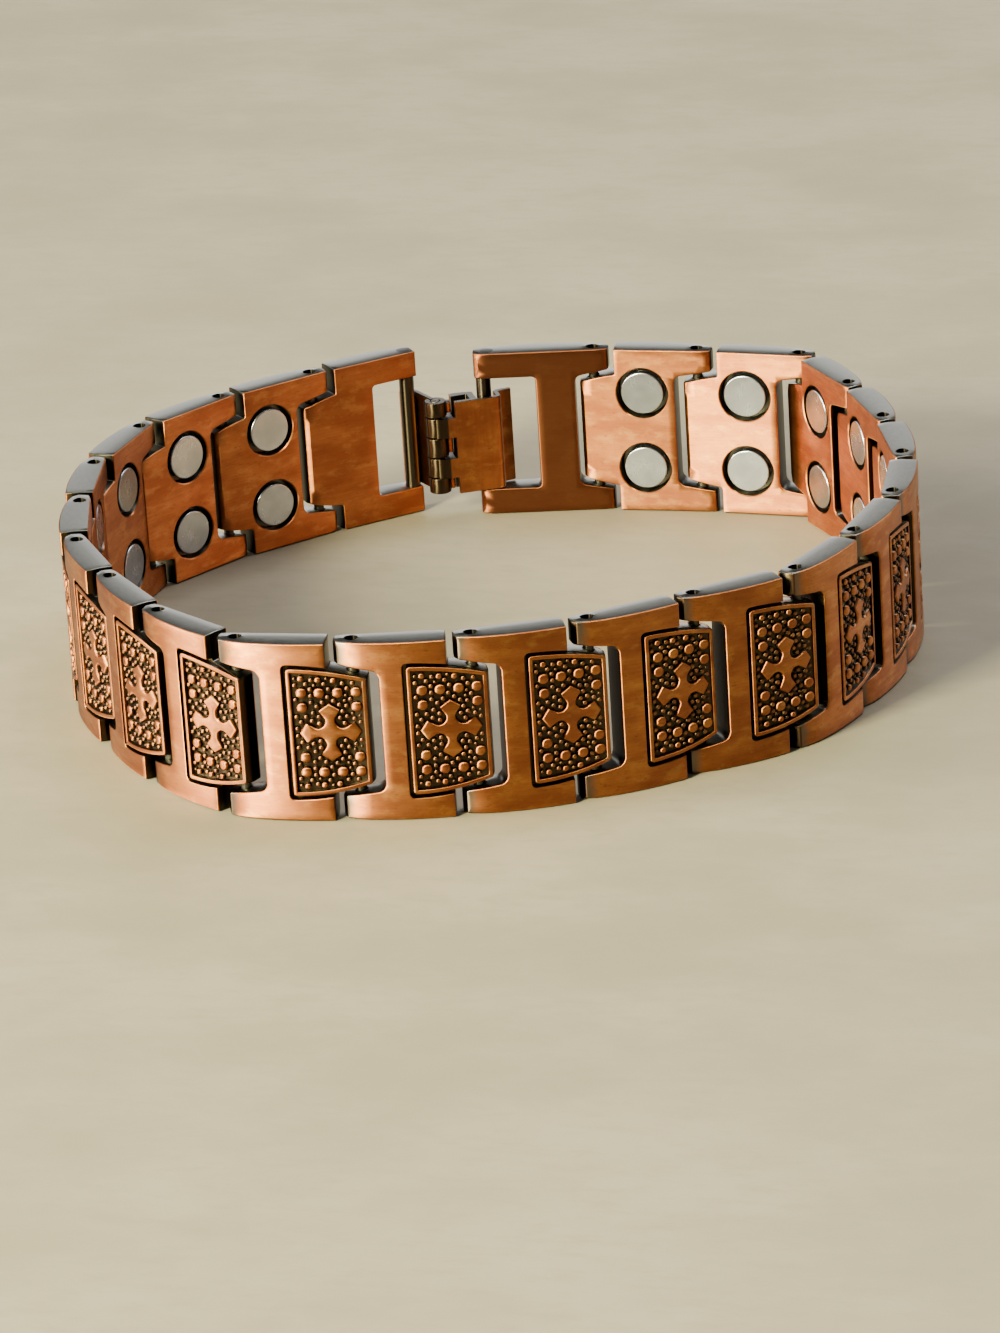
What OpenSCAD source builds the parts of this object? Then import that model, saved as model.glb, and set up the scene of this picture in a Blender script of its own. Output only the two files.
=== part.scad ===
// Magnetic bracelet of hinged cast links, closed by a folding clasp.
// The band lies on its edge: Z runs across the band's width, and the loop is seen in plan along Z.
// Every link is drawn in its own frame: X runs from its tongue's pin to its ears' pin,
// Y points away from the wrist and Z up.

/* [Band] */
// Width of the band, edge to edge
band_w = 15; // [14.6:0.1:15.4]
// Distance from pin to pin along a link
link_pitch = 9.25; // [9.1:0.05:9.5]
// Depth from the pins to the flat inner face
inner_v = 0.9; // [0.8:0.05:1]
// Height of the outer face's crown over the pins
crown_v = 1.6; // [1.5:0.05:1.8]
// Radius of the crowned outer face
crown_r = 26; // [22:1:40]

/* [Ears and tongue] */
// Reach of the ears past their pin
ear_reach = 1.1; // [0.9:0.05:1.2]
// Distance from the pin to the wall at the back of the ears' opening
opening_depth = 2.05; // [1.95:0.05:2.2]
// Height of the ears' opening at its mouth
mouth_h = 10.9; // [10.7:0.1:11.2]
// Height of the ears' opening at its back wall
opening_h = 9.9; // [9.8:0.1:10.2]
// Reach of the tongue past its pin
tongue_reach = 1.25; // [1.1:0.05:1.4]
// Margin of the tongue round its panel
tongue_margin = 0.1; // [0.06:0.02:0.14]
// Bevel of the tongue's free end, towards the wrist
tongue_bevel = 0.45; // [0.3:0.05:0.5]
// Start of the rails on the outer face
rail_out_u = 2.05; // [1.95:0.05:2.2]
// Start of the rails on the inner face
rail_in_u = 2.35; // [2.2:0.05:2.5]

/* [Ornament panel] */
// Height of the panel at its free end
panel_end_h = 8.9; // [8.8:0.05:9]
// Height of the panel where its slope changes
panel_knee_h = 10.3; // [10.2:0.05:10.35]
// Height of the panel at its other end
panel_root_h = 10.7; // [10.5:0.05:10.8]
// Place where the panel's slope changes
panel_knee_u = 2; // [1.8:0.1:2.2]
// Place of the panel's other end
panel_root_u = 5.1; // [5:0.05:5.2]
// Width of the groove round the panel
groove_w = 0.3; // [0.25:0.01:0.34]
// Height of the groove's floor over the pins
groove_v = 0.85; // [0.75:0.05:1]
// Width of the raised rim
rim_w = 0.33; // [0.3:0.01:0.4]
// Depth of the panel's floor under the rim
relief_d = 0.36; // [0.2:0.02:0.4]
// Middle of the cross
cross_u = 1.85; // [1.8:0.05:1.9]
// Reach of the cross's arms
cross_reach = 2.4; // [2.3:0.05:2.45]
// Radius of the four notches between the arms
notch_r = 0.63; // [0.58:0.01:0.65]
// Distance of the notches from the middle, along and across
notch_at = 0.97; // [0.95:0.01:1]

/* [Magnets] */
// Diameter of a magnet
magnet_d = 3.8; // [3.6:0.1:4]
// Thickness of a magnet
magnet_t = 1.05; // [0.8:0.05:1.1]
// Diameter of its recess
recess_d = 4.6; // [4.3:0.1:4.6]
// Depth of its recess
recess_depth = 1.12; // [1:0.02:1.2]
// Distance of a magnet's centre from mid-height
magnet_off = 3.45; // [3.3:0.05:3.6]
// Place of the magnets along the link
magnet_u = 4.4; // [4.35:0.05:4.6]

/* [Pins] */
// Diameter of a link pin
pin_d = 0.86; // [0.8:0.02:0.9]
// Diameter of the holes for the link pins
pin_hole_d = 1; // [0.96:0.02:1]
// Depth of a pin's ends under the edge of the band
pin_sink = 0.9; // [0.5:0.1:1.2]

/* [End links] */
// Height of an end link's window
window_h = 10.3; // [10.1:0.1:10.5]
// Diameter of the bars that hold the clasp
bar_d = 1.3; // [1.2:0.05:1.4]
// Distance from the ears' pin to the bar, on the bar end link
bar_reach = 9.7; // [9.6:0.05:9.8]
// Height of that bar's axis over the pins
bar_v = 0.1; // [0:0.05:0.2]
// Reach of the bar end link's arms past their bar
arm_reach = 0.8; // [0.75:0.05:0.9]
// Distance from the tongue's pin to the bar, on the window end link
window_bar_u = 9.3; // [9.25:0.05:9.35]
// Height of that bar's axis over the pins
window_bar_v = -0.15; // [-0.2:0.05:-0.1]

/* [Clasp] */
// Height of the clasp's pieces
clasp_h = 8.5; // [8.3:0.1:8.7]
// Thickness of the clasp's plate
plate_t = 0.45; // [0.4:0.05:0.5]
// Diameter of the hinge barrel
barrel_d = 1.9; // [1.8:0.1:2]
// Diameter of the hinge pin
hinge_pin_d = 0.8; // [0.76:0.02:0.84]
// Running gap between clasp pieces
gap = 0.1; // [0.08:0.01:0.12]

/* [Hidden] */
$fn = 96;
mid_z = band_w / 2;
ear_u = link_pitch + ear_reach;
opening_u = link_pitch - opening_depth;
crown_u = 4.55;

// Turn of the band at each pin in degrees, clockwise from above, from the bar end link's ears
// round the loop to the window end link's tongue
turns = [10, 5, 48, 9.5, 8.5, 15, 14.5, 10, 29.5, 2, 14,
         12.5, 9.5, 36.5, 15.5, 7.5, 18, 6, 17.5, 23, 12, 5];
link_count = len(turns) - 1;
window_end = link_count + 1;
// First pin, placed so that the middle of the loop's box is the origin
first_pin = [2.18, 34.8];

// Large pebbles of the ornament: distance from the cross's middle along the link, then up or
// down, each in the four quarters of the panel, and their diameters at the foot and at the top
large_pebbles = [[0.72, 3.32], [2.13, 3.32], [2.12, 2.1]];
large_d = [1, 0.78];
// Edge pebbles, only mirrored about mid-height
edge_pebbles = [[2.1, 4.55], [0.75, 4.55], [-0.45, 4.5]];
edge_d = [0.62, 0.5];

// Hinge barrel: its axis in the window end link's frame, and the knuckles' heights
barrel_at = [10.4, -3.29];
knuckles = [0, 1.5, 3.35, 5.2, 7.05, clasp_h];
clasp_z = mid_z - window_h / 2 + 0.1;
hook_gap = 0.2;
notch_len = 1.75;
// Inner radius of the leaf's curl, and the angle at which the curl ends behind the bar
curl_r = bar_d / 2 + gap;
curl_end = 100;

function dir(a) = [cos(a), sin(a)];
function heading(k) = k == 0 ? turns[0] : heading(k - 1) - turns[k - 1];
function pin_at(k) = k == 0 ? first_pin - link_pitch * dir(heading(0))
                   : k == 1 ? first_pin
                   : pin_at(k - 1) + link_pitch * dir(heading(k - 1));
function face_at(u) = crown_v - crown_r + sqrt(crown_r * crown_r - (u - crown_u) * (u - crown_u));
function name(stem, k) = str(stem, "_", k < 10 ? "0" : "", k);
// An outline given for its upper half, as distances along and from mid-height, closed by its mirror
function both(half) = concat([for (p = half) [p[0], mid_z + p[1]]],
                             [for (i = [len(half) - 1:-1:0]) [half[i][0], mid_z - half[i][1]]]);
// A half height that changes evenly from one place to another
function taper(u, u1, h1, u2, h2) = (h1 + (h2 - h1) * (u - u1) / (u2 - u1)) / 2;
function panel_half(u) =
    u < panel_knee_u ? taper(u, -tongue_reach, panel_end_h, panel_knee_u, panel_knee_h)
                     : taper(u, panel_knee_u, panel_knee_h, panel_root_u, panel_root_h);

link_names = [for (k = [1:link_count]) name("link", k)];
magnet_names = [for (k = [1:link_count]) name("magnets", k)];

// Frame of link k: 0 is the bar end link, the last is the window end link
module at_link(k) translate([each pin_at(k), 0]) rotate(heading(k)) children();

// A prism with the given outline along the band and across it, from depth v1 to depth v2
module front(outline, v1, v2)
    translate([0, v2, 0]) rotate([90, 0, 0]) linear_extrude(height = v2 - v1) polygon(outline);

// The round block that gives an outer face its crown, sunk by d
module crown(d = 0) translate([crown_u, crown_v - crown_r, 0]) cylinder(r = crown_r - d, h = band_w);

// Ears and rails seen from above: slanted ends at the tongue, rounded inner corners at the tips
module rail_plan(from_in, from_out)
    linear_extrude(height = band_w) polygon([
        [from_in, -inner_v], [ear_u - 0.55, -inner_v], [ear_u - 0.16, -inner_v + 0.16],
        [ear_u, -inner_v + 0.55], [ear_u, crown_v], [from_out, crown_v]]);

// Body with the ears' opening cut out of its far end, whose back wall is at root
module eared_body(from_u, root)
    front(both([[from_u, mid_z], [ear_u, mid_z], [ear_u, mouth_h / 2],
                [root + 0.65, opening_h / 2 + 0.04], [root + 0.18, opening_h / 2 - 0.18],
                [root, opening_h / 2 - 0.6]]), -inner_v, crown_v);

// Tongue, a little wider than its panel and bevelled at its free end
module tongue() {
    edge = [rail_in_u + 0.6, panel_knee_u, -tongue_reach + 0.25];
    intersection() {
        front(both(concat([for (u = edge) [u, panel_half(u) + tongue_margin]],
                          [[-tongue_reach, panel_half(-tongue_reach) - 0.2]])), -inner_v, crown_v);
        linear_extrude(height = band_w) polygon([
            [-tongue_reach, crown_v], [-tongue_reach, -inner_v + tongue_bevel],
            [-tongue_reach + tongue_bevel, -inner_v], [edge[0], -inner_v], [edge[0], crown_v]]);
    }
}

module pin_hole(u) translate([u, 0, -1]) cylinder(d = pin_hole_d, h = band_w + 2);

// Room that the groove round a panel takes out of the face
module groove(root)
    front(both([[root + groove_w, panel_half(root) + groove_w - 0.3],
                [root + groove_w - 0.3, panel_half(root) + groove_w],
                [panel_knee_u, panel_half(panel_knee_u) + groove_w],
                [-tongue_reach - 1, panel_half(-tongue_reach - 1) + groove_w]]), groove_v, crown_v + 1);

// Outline of a panel, drawn in by d on every side, with its corners cut
function panel_outline(root, d) = both([
    [root - d, panel_half(root) - d - 0.25], [root - d - 0.25, panel_half(root) - d],
    [panel_knee_u, panel_half(panel_knee_u) - d],
    [-tongue_reach + d + 0.25, panel_half(-tongue_reach + 0.25) - d],
    [-tongue_reach + d, panel_half(-tongue_reach) - d - 0.25]]);

module pebble(x, z, d)
    translate([cross_u + x, face_at(cross_u + x) - relief_d - 0.2, mid_z + z])
        rotate([-90, 0, 0]) cylinder(d1 = d[0], d2 = d[1], h = relief_d + 0.17, $fn = 32);

// Cross with flared, pointed arms and round notches between them: from the tip of an arm, its
// corner, its side where the notch starts and the notch's centre, as distance and angle
module cross()
    difference() {
        quarter = [[cross_reach, 0], [2.02, 22.5], [1.35, 20], [notch_at * sqrt(2), 45],
                   [1.35, 70], [2.02, 67.5]];
        front([for (i = [0:3], p = quarter) [cross_u, mid_z] + p[0] * dir(90 * i + p[1])],
              face_at(cross_u) - relief_d - 0.3, face_at(cross_u) - 0.03);
        for (x = [-1, 1], z = [-1, 1])
            translate([cross_u + x * notch_at, -1, mid_z + z * notch_at])
                rotate([-90, 0, 0]) cylinder(r = notch_r, h = 4, $fn = 48);
    }

// Ornament panel: raised rim, sunk floor, cross and pebbles
module panel(root) {
    difference() {
        intersection() {
            front(panel_outline(root, 0), groove_v - 0.1, crown_v);
            crown();
        }
        difference() {
            front(panel_outline(root, rim_w), 0, crown_v + 1);
            crown(relief_d);
        }
    }
    cross();
    for (p = large_pebbles, x = [-1, 1], z = [-1, 1]) pebble(x * p[0], z * p[1], large_d);
    for (p = edge_pebbles, z = [-1, 1]) pebble(p[0], z * p[1], edge_d);
}

module magnet_places()
    for (z = [-1, 1]) translate([magnet_u, -inner_v, mid_z + z * magnet_off])
        rotate([-90, 0, 0]) children();

module link(k) at_link(k) color("peru") {
    difference() {
        intersection() {
            union() {
                intersection() {
                    eared_body(rail_out_u, opening_u);
                    rail_plan(rail_in_u, rail_out_u);
                }
                tongue();
            }
            crown();
        }
        groove(panel_root_u);
        pin_hole(0);
        pin_hole(link_pitch);
        magnet_places() translate([0, 0, -1]) cylinder(d = recess_d, h = recess_depth + 1);
    }
    panel(panel_root_u);
}

module magnets(k) at_link(k) color("silver")
    magnet_places() translate([0, 0, recess_depth - magnet_t - 0.03]) cylinder(d = magnet_d, h = magnet_t);

// One pin at each joint of the band, its ends sunk in the ears
module link_pins() color("dimgray")
    for (k = [1:window_end]) translate([each pin_at(k), pin_sink])
        cylinder(d = pin_d, h = band_w - 2 * pin_sink);

// Round bar across a window
module clasp_bar(u, v) translate([u, v, mid_z - window_h / 2 - 0.4])
    cylinder(d = bar_d, h = window_h + 0.8);

module window(u1, u2)
    front(both([[u1, window_h / 2], [u2, window_h / 2]]), -inner_v - 1, crown_v + 1);

// End link with ears, a broad post and a bar that the hook clips on
module bar_end_link() at_link(0) color("sienna") {
    bar_u = link_pitch - bar_reach;
    difference() {
        intersection() {
            eared_body(bar_u - arm_reach, link_pitch - 1.7);
            rail_plan(bar_u - arm_reach, bar_u - arm_reach);
            crown();
        }
        window(bar_u - arm_reach - 1, link_pitch - 5.06);
        pin_hole(link_pitch);
    }
    clasp_bar(bar_u, bar_v);
}

// End link with a tongue, a panel and a window whose bar carries the clasp's leaf
module window_end_link() at_link(window_end) color("sienna") {
    arm_u = window_bar_u + bar_d / 2;
    panel_end = panel_root_u - 0.3;
    difference() {
        intersection() {
            union() {
                intersection() {
                    front(both([[rail_out_u, mid_z], [arm_u, mid_z]]), -inner_v, crown_v);
                    rail_plan(rail_in_u, rail_out_u);
                }
                tongue();
            }
            crown();
        }
        groove(panel_end);
        window(panel_end + 0.8, arm_u + 1);
        pin_hole(0);
    }
    panel(panel_end);
    clasp_bar(window_bar_u, window_bar_v);
}

// The hinge barrel's axis in plan, and the line from it to the hook's bar
barrel_xy = pin_at(window_end) + barrel_at[0] * dir(heading(window_end))
          + barrel_at[1] * dir(heading(window_end) + 90);
hook_bar_xy = pin_at(1) - bar_reach * dir(heading(0)) + bar_v * dir(heading(0) + 90);
hook_line = hook_bar_xy - barrel_xy;
hook_reach = norm(hook_line);
hook_turn = atan2(hook_line[1], hook_line[0]);

// Stretch i of the barrel's height, grown by g at both ends
module knuckle_span(i, g = 0) translate([0, 0, clasp_z + knuckles[i] - g])
    linear_extrude(height = knuckles[i + 1] - knuckles[i] + 2 * g) children();

// Leaf curled over the window's bar and ending in three knuckles
module clasp_leaf() at_link(window_end) color("peru")
    difference() {
        union() {
            translate([window_bar_u, window_bar_v, clasp_z]) difference() {
                cylinder(r = curl_r + plate_t, h = clasp_h);
                translate([0, 0, -1]) cylinder(r = curl_r, h = clasp_h + 2);
                translate([0, 0, -1]) linear_extrude(height = clasp_h + 2)
                    polygon([[0, 0], [2, -0.6], [2, -3], [-3, -3], [-3, 3], 3 * dir(curl_end)]);
            }
            translate([0, 0, clasp_z]) linear_extrude(height = clasp_h) polygon([
                [window_bar_u + curl_r + 0.01, window_bar_v],
                [window_bar_u + curl_r + plate_t - 0.01, window_bar_v],
                [barrel_at[0] + plate_t / 2, barrel_at[1]], [barrel_at[0] - plate_t / 2, barrel_at[1]]]);
            translate([each barrel_at, 0])
                for (i = [0, 2, 4]) knuckle_span(i, -gap / 2) circle(d = barrel_d);
        }
        translate([each barrel_at, 0]) {
            for (i = [1, 3]) knuckle_span(i, gap / 2) circle(d = barrel_d + 2 * gap);
            translate([0, 0, clasp_z - 1]) cylinder(d = hinge_pin_d + 0.14, h = clasp_h + 2);
        }
    }

// Hook in its own frame: X runs from the hinge axis to the bar it clips round, Y away from the wrist.
// Its plate passes the bar on the wrist's side, turns out behind it and ends in a flared lip
module clasp_hook() translate([each barrel_xy, 0]) rotate(hook_turn) color("chocolate") {
    plate_y = -bar_d / 2 - 0.15;
    wall_x = hook_reach + bar_d / 2 + hook_gap;
    back_x = hook_reach - bar_d / 2 - hook_gap;
    difference() {
        union() {
            translate([0, 0, clasp_z]) linear_extrude(height = clasp_h) polygon([
                [-0.2, plate_y], [-0.2, -barrel_d / 2], [0.3, plate_y - plate_t],
                [wall_x - 0.1, plate_y - plate_t], [wall_x + plate_t - 0.12, plate_y - 0.2],
                [wall_x + plate_t, plate_y + 0.2], [wall_x + plate_t, 0.2], [wall_x + 1.7, 0.6],
                [wall_x + 1.6, 1], [wall_x + 0.4, 0.75], [wall_x, 0.4], [wall_x, plate_y]]);
            translate([0, 0, clasp_z]) intersection() {
                linear_extrude(height = clasp_h) difference() {
                    polygon([[0, plate_y - 0.1], [0, barrel_d / 2], [back_x, 1.15], [back_x, plate_y - 0.1]]);
                    polygon([[1.35, plate_y], [1.35, 0.45], [back_x - 0.75, 0.6], [back_x - 0.75, plate_y]]);
                }
                cylinder(r = back_x, h = clasp_h);
            }
            for (i = [1, 3]) knuckle_span(i, -gap / 2) circle(d = barrel_d);
        }
        for (i = [0, 2, 4]) knuckle_span(i, gap / 2) union() {
            circle(d = barrel_d + 2 * gap);
            translate([-2, -2]) square([2 + notch_len, 4]);
        }
        translate([0, 0, clasp_z - 1]) cylinder(d = hinge_pin_d + 0.14, h = clasp_h + 2);
    }
}

module clasp_pin() translate([each barrel_xy, clasp_z]) color("gray")
    cylinder(d = hinge_pin_d, h = clasp_h);

for (k = [1:link_count]) {
    link(k);
    magnets(k);
}
bar_end_link();
window_end_link();
link_pins();
clasp_leaf();
clasp_hook();
clasp_pin();
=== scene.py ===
"""Magnetic bracelet: cast copper links with a raised cross and pebbles, disc magnets and a folding clasp.

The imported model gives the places. Every link, magnet, pin and clasp piece is drawn again here with
bevels and relief. Lengths are in millimetres until a mesh is coated, which is when they become metres.
"""
import math

import bmesh
import bpy
from mathutils import Matrix, Vector
from mathutils.geometry import delaunay_2d_cdt


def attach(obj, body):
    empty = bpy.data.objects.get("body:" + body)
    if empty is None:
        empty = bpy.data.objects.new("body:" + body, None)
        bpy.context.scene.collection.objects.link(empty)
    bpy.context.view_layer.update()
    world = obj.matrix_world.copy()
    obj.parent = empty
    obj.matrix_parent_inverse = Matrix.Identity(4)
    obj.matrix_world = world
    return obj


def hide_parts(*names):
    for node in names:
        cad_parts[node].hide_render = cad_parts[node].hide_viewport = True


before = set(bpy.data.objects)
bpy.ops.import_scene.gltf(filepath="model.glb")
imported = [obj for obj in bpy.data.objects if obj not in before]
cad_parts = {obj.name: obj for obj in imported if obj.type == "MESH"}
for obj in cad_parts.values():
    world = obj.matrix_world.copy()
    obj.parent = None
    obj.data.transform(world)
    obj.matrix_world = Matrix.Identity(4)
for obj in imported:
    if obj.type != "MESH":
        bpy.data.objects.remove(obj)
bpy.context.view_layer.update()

MM = 0.001
BAND_W = 15.0
MID_Z = BAND_W / 2
PITCH = 9.25
# Turn of the band at each pin in degrees, from the bar end link to the window end link
TURNS = [10, 5, 48, 9.5, 8.5, 15, 14.5, 10, 29.5, 2, 14,
         12.5, 9.5, 36.5, 15.5, 7.5, 18, 6, 17.5, 23, 12, 5]
LINKS = len(TURNS) - 1
WINDOW_END = LINKS + 1
FIRST_PIN = Vector((2.18, 34.8))

# A link's frame: u runs from its tongue's pin to its ears' pin, v away from the wrist, z up
INNER_V = -0.9
CROWN_V = 1.6
CROWN_R = 26.0
CROWN_U = 4.55
TIP_U = PITCH + 1.43
TIP_FALL_U = 8.3
TIP_FALL_R = 9.0
TIP_SLANT = 0.11
TIP_SLANT_W = 0.8
RAIL_U = 1.84
RAIL_ROOT_Z = 5.0
RAIL_SLANT = 0.1
RAIL_SLANT_W = 0.6
RAIL_INNER_SLANT = 0.2
TONGUE_U = -1.25
TONGUE_MARGIN = 0.1
TONGUE_BEVEL_W = 0.48
TONGUE_BEVEL_SLOPE = 0.85
OPENING_U = PITCH - 1.92
OPENING_HALF = 4.92
MOUTH_HALF = 5.45

# Edges of a casting: the crease halfway up its walls, its bevels, and the rounding of its corners
CREASE_V = 0.1
CREASE_IN = 0.08
OUTER_BEVEL = 0.13
INNER_BEVEL = 0.12
EAR_ROUND = 0.5
EAR_ROUND_SHARE = 0.92
EAR_ROOT_R, EAR_MOUTH_R, END_R = 0.62, 0.3, 0.2
RAIL_R, RAIL_ROOT_R, TONGUE_R = 0.17, 0.14, 0.3
WINDOW_R, ARM_R = 0.25, 0.15

# Ornament panel and the groove sunk round it. Depths are taken from the crown
PANEL_ROOT_U = 5.1
PANEL_FREE_U = -1.15
PANEL_ROOT_HALF = 5.35
PANEL_CURVE = 0.0242
PANEL_R = 0.3
PANEL_D = 0.02
PANEL_FOOT = 0.25
GROOVE_W = 0.3
GROOVE_V = 0.85
GROOVE_R = 0.38
GROOVE_MOUTH = (TONGUE_U - 1, 6.2)
RIM_W = 0.33
RIM_BEVEL = 0.09
RIM_INNER_BEVEL = 0.07
FLOOR_D = 0.4
FLOOR_EDGE = RIM_W + 0.04

# The cross: its arms' pointed ends, the round notches between the arms, and its sides as rings of
# (growth of the outline, depth)
CROSS_U = 1.85
CROSS_REACH = 2.4
CROSS_CORNER_R = 2.02
CROSS_CORNER_TURN = 22.5
REACH_GROWTH, CORNER_GROWTH = 1.2, 1.15
NOTCH_AT = 0.97
NOTCH_R = 0.63
NOTCH_FROM, NOTCH_TO, NOTCH_STEPS = 318, 132, 12
CROSS_TOP = (-0.11, 0.03)
CROSS_RINGS = [(0.07, FLOOR_D), (0.05, 0.24), (0.0, 0.1), (-0.05, 0.05), CROSS_TOP]
CROSS_GRID = 0.4

# Pebbles: places from the cross's middle, radii and heights. The small ones fill a grid where there is
# room. A pebble's shape is rings of (share of its radius, share of its height)
LARGE_PEBBLES = [(0.72, 3.32), (2.13, 3.32), (2.12, 2.1)]
LARGE_R, LARGE_H = 0.47, FLOOR_D - 0.02
EDGE_PEBBLES = [(2.1, 4.52), (0.75, 4.42), (-0.45, 4.34)]
EDGE_R, EDGE_H = 0.27, FLOOR_D - 0.05
GROUND_RADII = [0.24, 0.18]
GROUND_H = FLOOR_D - 0.13
GROUND_FROM = (CROSS_U - 3.1, 0.3)
GROUND_STEP = 0.11
GROUND_COLUMNS, GROUND_ROWS = 60, 40
PEBBLE_GAP = 0.025
PEBBLE_MARGIN = 0.02
SMALL_LOSS = 0.4
FLAT_PEBBLE = [(1, 0), (0.97, 0.4), (0.9, 0.7), (0.76, 0.9), (0.55, 1)]
ROUND_PEBBLE = [(1, 0), (0.92, 0.45), (0.7, 0.82), (0.36, 0.98)]

# Magnets and pins
MAGNET_U = 4.4
MAGNET_OFF = 3.45
MAGNET_R = 1.9
MAGNET_T = 1.05
MAGNET_BEVEL = 0.13
MAGNET_GAP = 0.03
RECESS_R = 2.3
RECESS_D = 1.12
PIN_R = 0.43
PIN_BEVEL = 0.15
PIN_SINK = 0.9
PIN_HOLE_R = 0.5
PIN_MOUTH_R = PIN_HOLE_R + 0.06
PIN_MOUTH_D = 0.12

# End links: a round bar between two arms closes a window, given as (arms' ends, post)
WINDOW_HALF = 5.15
ARM_HALF = WINDOW_HALF - 0.1
BAR_R = 0.65
BAR_SINK = 0.4
HOOK_BAR = (PITCH - 9.7, 0.1)
HOOK_WINDOW = (HOOK_BAR[0] - 0.8, 4.08)
HOOK_OPENING_U = 7.66
WINDOW_BAR = (9.3, -0.15)
LEAF_WINDOW = (WINDOW_BAR[0] + BAR_R + 0.1, 5.7)
LEAF_PANEL_ROOT_U = PANEL_ROOT_U - 0.26

# Clasp: stretches of its hinge barrel, its sheet and the tabs on the leaf's knuckles, whose corners are
# (x, y, radius) with x towards the hook's bar
CLASP_H = 8.5
CLASP_Z = MID_Z - WINDOW_HALF + 0.1
CLASP_TOP = CLASP_Z + CLASP_H
PLATE_T = 0.45
GAP = 0.1
BARREL = (10.4, -3.29)
BARREL_R = 0.95
KNUCKLES = [0, 1.5, 3.35, 5.2, 7.05, CLASP_H]
LEAF_KNUCKLES, HOOK_KNUCKLES = (0, 2, 4), (1, 3)
KNUCKLE_BEVEL = 0.07
CLASP_PIN_R = 0.4
CLASP_PIN_BEVEL = 0.12
CLASP_BORE_R = CLASP_PIN_R + 0.07
LEAF_CURL, CURL_STEP = 100, 10
LEAF_BEVEL = 0.07
TAB = [(0.7, -0.35, 0), (1.33, -0.3, 0.15), (1.33, 0.6, 0.15), (0.7, 0.65, 0)]
TAB_GAP = 0.25
CLASP_BEVEL = 0.08
HOOK_GAP = 0.2
HOOK_PLATE_Y = -BAR_R - 0.15
HOOK_BOX_Y = 1.1
HOOK_BULGE = 1.2
HOOK_SLOPE = 0.16
BULGE_AT = (0.9, 0.75, 0.6, 0.45, 0.3, 0.15)
HOOK_BACK_T = 0.6
HOLLOW_X = 1.35
SLOT_X = 1.5

# Outlines: points for each millimetre of a rounded corner's radius, the share of the radius that added
# points keep clear of, and limits for corners too slight, small or sharp to round
CORNER_STEPS = 9
CORNER_ROOM = 1.2
SMALLEST_TURN = 0.02
SMALLEST_R = 0.012
SHARPEST = 0.3

# How finely walls and faces are divided, and how far cutters reach past what they cut
WALL_STEP = 0.8
PANEL_STEP = 0.7
FACE_STATIONS = [-0.77] + [0.6 * i for i in range(15)] + [8.7, 9.2, 9.6, 9.9, 10.18, 10.3, 10.4]
FACE_ROWS = [0.62 * i for i in range(-12, 13)]
FACE_MARGIN = 0.12
NO_BEVEL = 0.001
WELD = 1e-5
OVERSHOOT = 0.5
SMOOTH_ANGLE = 35

# Colours
COPPER_LIGHT = (0.57, 0.21, 0.073)
COPPER_GOLD = (0.72, 0.36, 0.12)
COPPER_DEEP = (0.41, 0.132, 0.05)
COPPER_DARK = (0.175, 0.06, 0.03)
PLATING = (0.145, 0.148, 0.13)
PLATING_LIGHT = (0.2, 0.203, 0.178)
# Painted shade: darker plating where it faces in or out, and darkest on end walls
PLATING_TIP_SHADE = (0.11, 0.105, 0.09)
PLATING_WALL_SHADE = (0.016, 0.0145, 0.012)
# Painted shade: black inside the pin holes
HOLE_SHADE_BLACK = (0.006, 0.005, 0.004)
PATINA = (0.048, 0.033, 0.021)
MAGNET_DULL, MAGNET_LIGHT = (0.35, 0.375, 0.45), (0.46, 0.49, 0.58)
# Pin steel darkened near black: painted shade where the pins show in the gaps
PIN_SHADED_DULL, PIN_SHADED_LIGHT = (0.05, 0.046, 0.04), (0.09, 0.084, 0.074)
FLOOR_LIGHT = (0.228, 0.202, 0.154)
FLOOR_DARK = (0.178, 0.16, 0.113)

# Surfaces: brushing in lumps per millimetre, depth of the bump, and where the hook turns dark, inside as
# painted shade
LINK_BRUSH = (0.45, 3.0, 9.0)
CLASP_BRUSH = (3.0, 3.0, 0.5)
BUMP_D = 0.01
ANISOTROPY = 0.93
HOOK_DARK_R = 1.42
HOOK_SHADE_CHANNEL = 0.78
HOOK_LIP = 0.75

# Surroundings: light from everywhere, and round patches that add to it or shade it, given as (azimuth,
# elevation, edge, core, strength) with angles in degrees
AMBIENT = 0.22
GLOWS = [(-146, 26, 38, 22, 6.0), (104, 6, 17, 12, 2.7), (46, 24, 24, 10, 1.6), (154, 24, 26, 12, 1.6)]
SHADES = [(-78, 26, 32, 16, 0.8), (104, 48, 26, 22, 0.8)]
AIR_COLOUR = (1.0, 0.985, 0.95)

# Lamps: name, azimuth and elevation in degrees, distance and size in metres, power in watts, colour
LAMPS = [("key", -120, 25, 0.6, 0.14, 19.0, (1.0, 0.94, 0.5)),
         ("side", -165, 20, 0.6, 0.16, 6.5, (1.0, 0.86, 0.45)),
         ("back", 60, 65, 0.7, 0.4, 5.0, (1.0, 0.97, 0.9))]
FLOOR_SIZE = 3

# Camera of the photograph: place in metres, angles in degrees and focal length in pixels
PHOTO_H = 1333
SENSOR = 36
CAMERA_AT = Vector((0.116864, -0.475831, 0.192881))
CAMERA_AZ, CAMERA_EL, CAMERA_ROLL = -13.73, 21.62, -3.64
CAMERA_FOCAL = 6329.6


# Places

def polar(radius, degrees):
    """A point or direction in the plane."""
    return Vector((math.cos(math.radians(degrees)), math.sin(math.radians(degrees)))) * radius


def direction(azimuth, elevation):
    """Unit vector at an azimuth, measured from the x axis, and an elevation."""
    flat = polar(math.cos(math.radians(elevation)), azimuth)
    return Vector((flat.x, flat.y, math.sin(math.radians(elevation))))


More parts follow.
